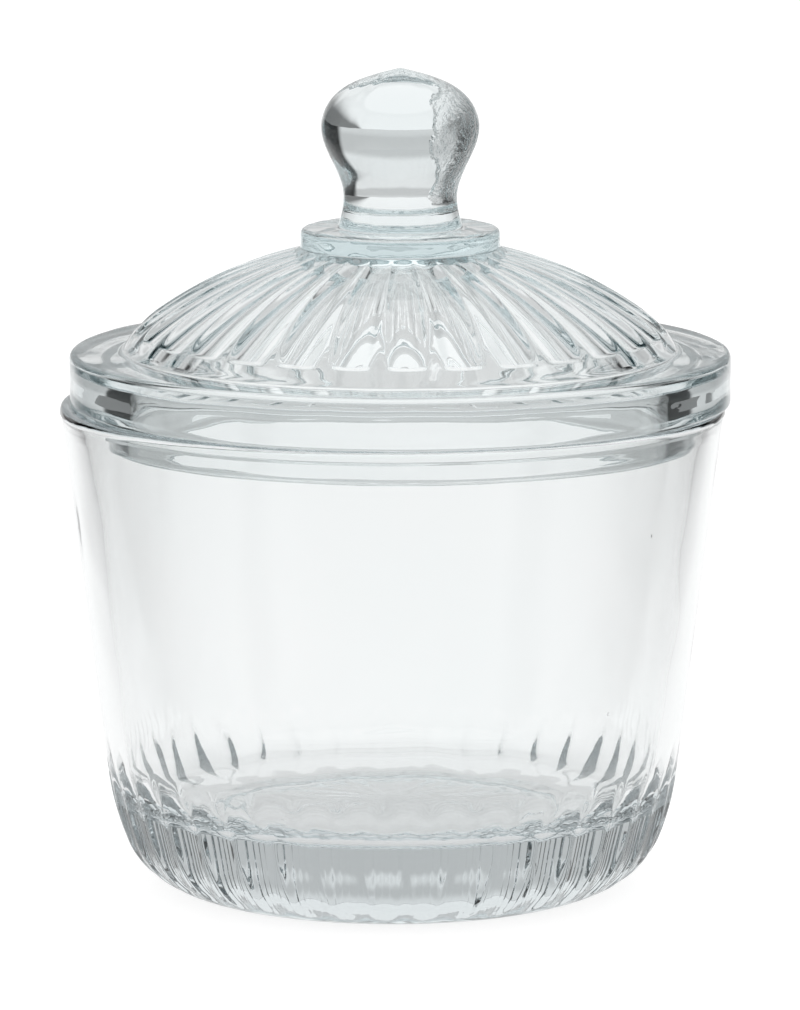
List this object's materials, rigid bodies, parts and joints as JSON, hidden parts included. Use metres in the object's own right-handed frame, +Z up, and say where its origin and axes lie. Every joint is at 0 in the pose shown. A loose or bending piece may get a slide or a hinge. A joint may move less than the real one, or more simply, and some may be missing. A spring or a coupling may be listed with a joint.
{
  "type": "apothecary jar",
  "caption": "Clear pressed-glass apothecary jar, tapered with a fluted heel, and a lift-off fluted dome lid with a flange, locating spigot and round knob.",
  "frame": {"origin": "centre of the jar's resting ring, on the surface it stands on", "axes": "+Z up along the jar's axis; +X is the side towards which the lid sits a little off centre; the front faces -Y"},
  "size_m": [0.1211, 0.1202, 0.1488],
  "materials": {
    "jar_glass": "clear soda-lime pressed glass, faint green-grey in thick sections, fire-polished",
    "lid_glass": "clear soda-lime pressed glass, faint green-grey in thick sections, with slight ripples and a few seeds"
  },
  "bodies": {
    "jar": {"jar": "jar_glass"},
    "lid": {"lid": "lid_glass"}
  },
  "joints": [
    {"name": "lid_lift", "type": "slide", "parent": "jar", "child": "lid", "axis": [0, 0, 1], "range_m": [0, 0.05]}
  ]
}
